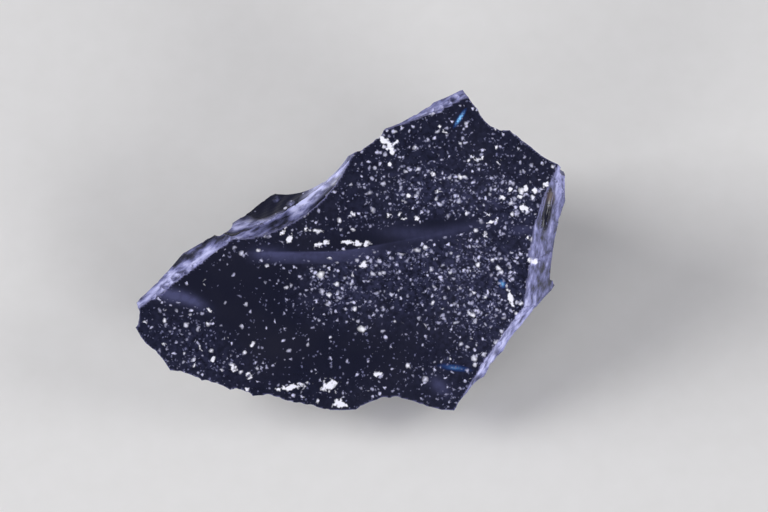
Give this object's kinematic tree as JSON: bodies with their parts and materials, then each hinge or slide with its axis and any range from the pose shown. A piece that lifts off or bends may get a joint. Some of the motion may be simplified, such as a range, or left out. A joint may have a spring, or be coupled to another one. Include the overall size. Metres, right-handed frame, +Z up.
{
  "type": "obsidian chunk",
  "caption": "Broken lump of black volcanic glass with a broad sloping face, a low step across it, chipped sharp edges and hollow flake scars, resting on a flat break.",
  "frame": {"origin": "centre of the bounding box at the flat break that it rests on", "axes": "+Z up from the resting face, +X along the longest extent with the pointed end at -X, the broad face slopes down towards -Y"},
  "size_m": [0.0651, 0.0469, 0.0286],
  "materials": {
    "obsidian": "broken volcanic glass: glossy, with frosted chipped edges and pale dust specks"
  },
  "bodies": {
    "root": {"obsidian_chunk": "obsidian"}
  },
  "joints": []
}
